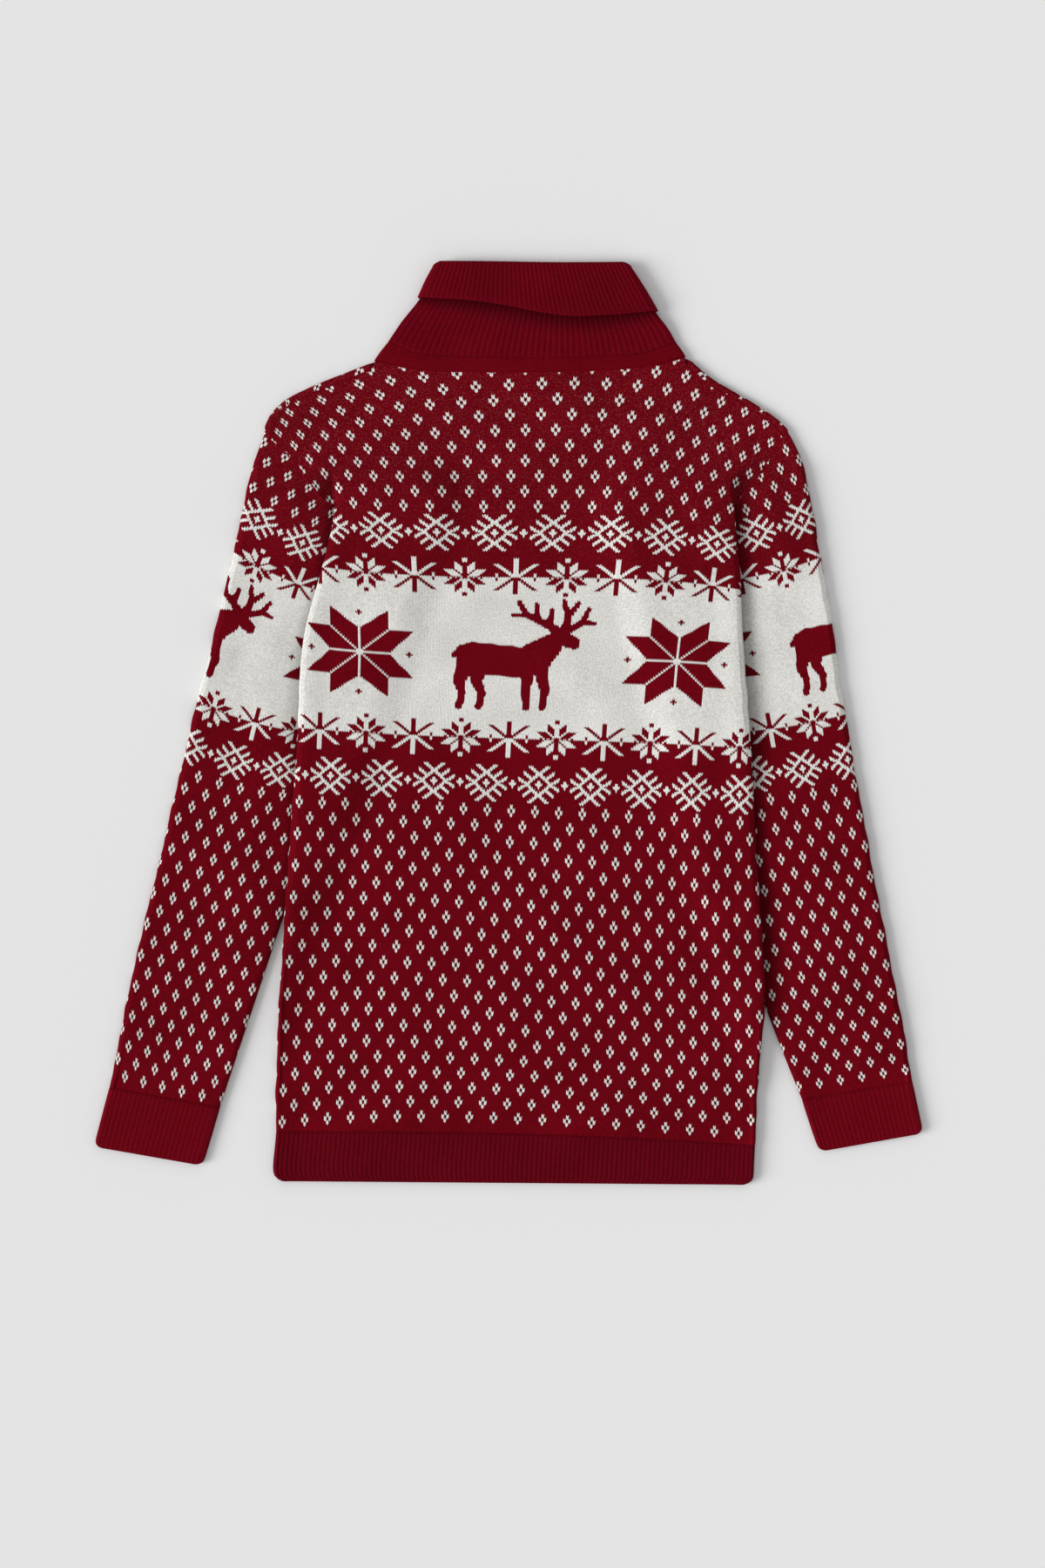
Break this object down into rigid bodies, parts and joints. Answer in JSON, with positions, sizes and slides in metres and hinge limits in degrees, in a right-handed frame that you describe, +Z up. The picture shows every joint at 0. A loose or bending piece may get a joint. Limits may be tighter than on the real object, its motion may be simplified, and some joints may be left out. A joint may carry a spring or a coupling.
{
  "type": "christmas sweater",
  "caption": "Roll-neck knitted Christmas sweater laid flat, back up, with ribbed hem, cuffs and folded collar and bands of stars, reindeer and small lozenges",
  "frame": {"origin": "the middle of the floor under the sweater's box", "axes": "+X to the right as seen from above with the collar up, +Y towards the collar, +Z up from the surface; the back is up"},
  "size_m": [0.7012, 0.7832, 0.0127],
  "materials": {
    "jacquard_knit": "matt knitted yarn",
    "rib_knit": "matt ribbed yarn",
    "plain_knit": "matt plain knit"
  },
  "bodies": {
    "root": {"back_panel": "jacquard_knit", "front_panel": "jacquard_knit", "left_sleeve": "jacquard_knit", "right_sleeve": "jacquard_knit", "back_hem_rib": "rib_knit", "front_hem_rib": "rib_knit", "left_cuff": "rib_knit", "right_cuff": "rib_knit", "collar": "rib_knit", "neck_band": "plain_knit"}
  },
  "joints": []
}
